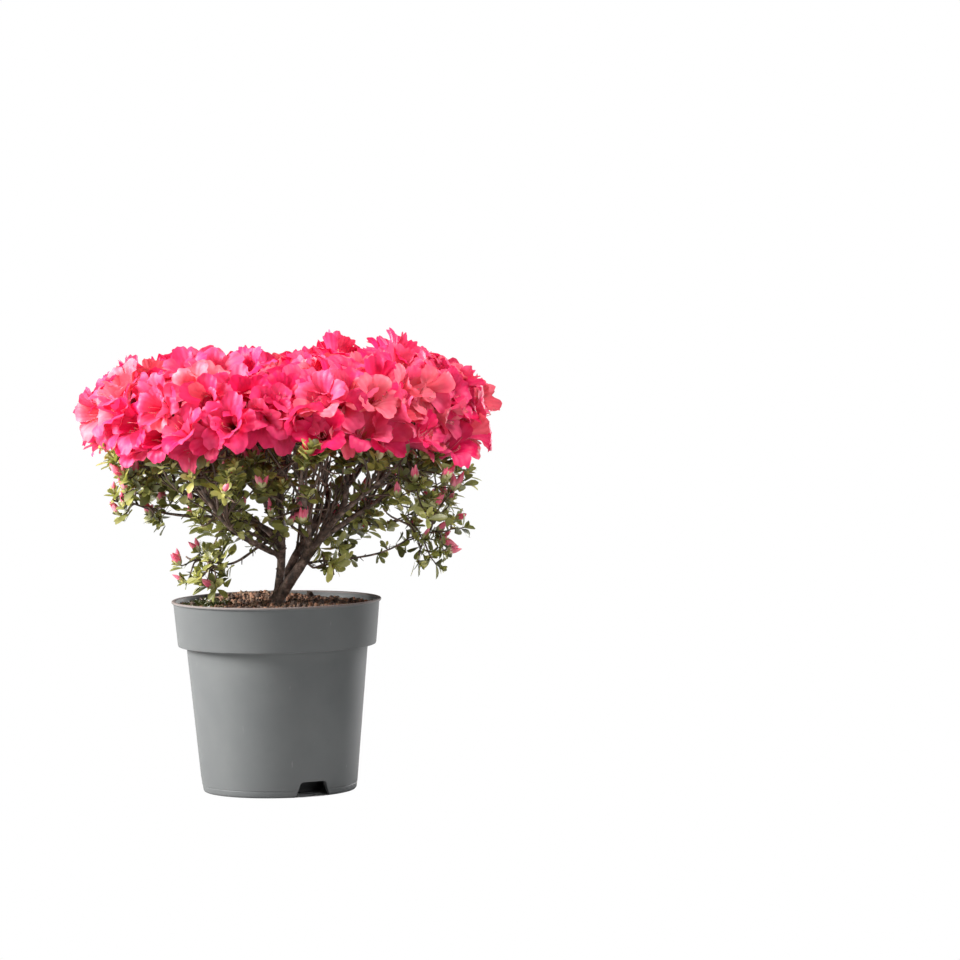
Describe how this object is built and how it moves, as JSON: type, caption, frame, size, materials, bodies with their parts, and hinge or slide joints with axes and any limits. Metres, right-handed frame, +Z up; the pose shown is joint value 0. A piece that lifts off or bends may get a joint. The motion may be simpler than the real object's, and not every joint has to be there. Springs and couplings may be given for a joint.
{
  "type": "potted azalea shrub",
  "caption": "Low azalea shrub in full pink flower, with slender forking stems, leafy lower sprays and a tapered round plastic pot of soil.",
  "frame": {"origin": "centre of the flat underside of the pot, on the surface that it stands on", "axes": "+Z up, +X to the right and -Y towards the viewer of the picture"},
  "size_m": [0.302, 0.283, 0.3326],
  "materials": {
    "pot_plastic": "mid grey injection-moulded plastic with a soft sheen",
    "potting_soil": "moist crumbly peat with bark fibres and a little moss",
    "bark": "grey-brown young bark, finely ridged",
    "blossom_and_leaves": "thin satin petals in coral pink over small green leaves",
    "leaves_and_buds": "small leathery dark green leaves with pink buds"
  },
  "bodies": {
    "root": {"bough_crown_inner_1": "bark", "bough_crown_inner_2": "bark", "bough_crown_inner_3": "bark", "bough_crown_inner_4": "bark", "bough_crown_middle": "bark", "bough_crown_outer_1": "bark", "bough_crown_outer_2": "bark", "bough_crown_outer_3": "bark", "bough_crown_outer_4": "bark", "bough_crown_outer_5": "bark", "bough_crown_outer_6": "bark", "bough_crown_outer_7": "bark", "bough_crown_outer_8": "bark", "bough_spray_back_left": "bark", "bough_spray_back_right": "bark", "bough_spray_far_left": "bark", "bough_spray_front": "bark", "bough_spray_low_left": "bark", "bough_spray_low_right": "bark", "bough_spray_mid_left": "bark", "bough_spray_under_right": "bark", "crown_inner_1": "blossom_and_leaves", "crown_inner_2": "blossom_and_leaves", "crown_inner_3": "blossom_and_leaves", "crown_inner_4": "blossom_and_leaves", "crown_middle": "blossom_and_leaves", "crown_outer_1": "blossom_and_leaves", "crown_outer_2": "blossom_and_leaves", "crown_outer_3": "blossom_and_leaves", "crown_outer_4": "blossom_and_leaves", "crown_outer_5": "blossom_and_leaves", "crown_outer_6": "blossom_and_leaves", "crown_outer_7": "blossom_and_leaves", "crown_outer_8": "blossom_and_leaves", "pot": "pot_plastic", "soil": "potting_soil", "spray_back_left": "leaves_and_buds", "spray_back_right": "leaves_and_buds", "spray_far_left": "leaves_and_buds", "spray_front": "leaves_and_buds", "spray_low_left": "leaves_and_buds", "spray_low_right": "leaves_and_buds", "spray_mid_left": "leaves_and_buds", "spray_under_right": "leaves_and_buds", "stem_back": "bark", "stem_left": "bark", "stem_middle": "bark", "stem_right": "bark", "trunk": "bark"}
  },
  "joints": []
}
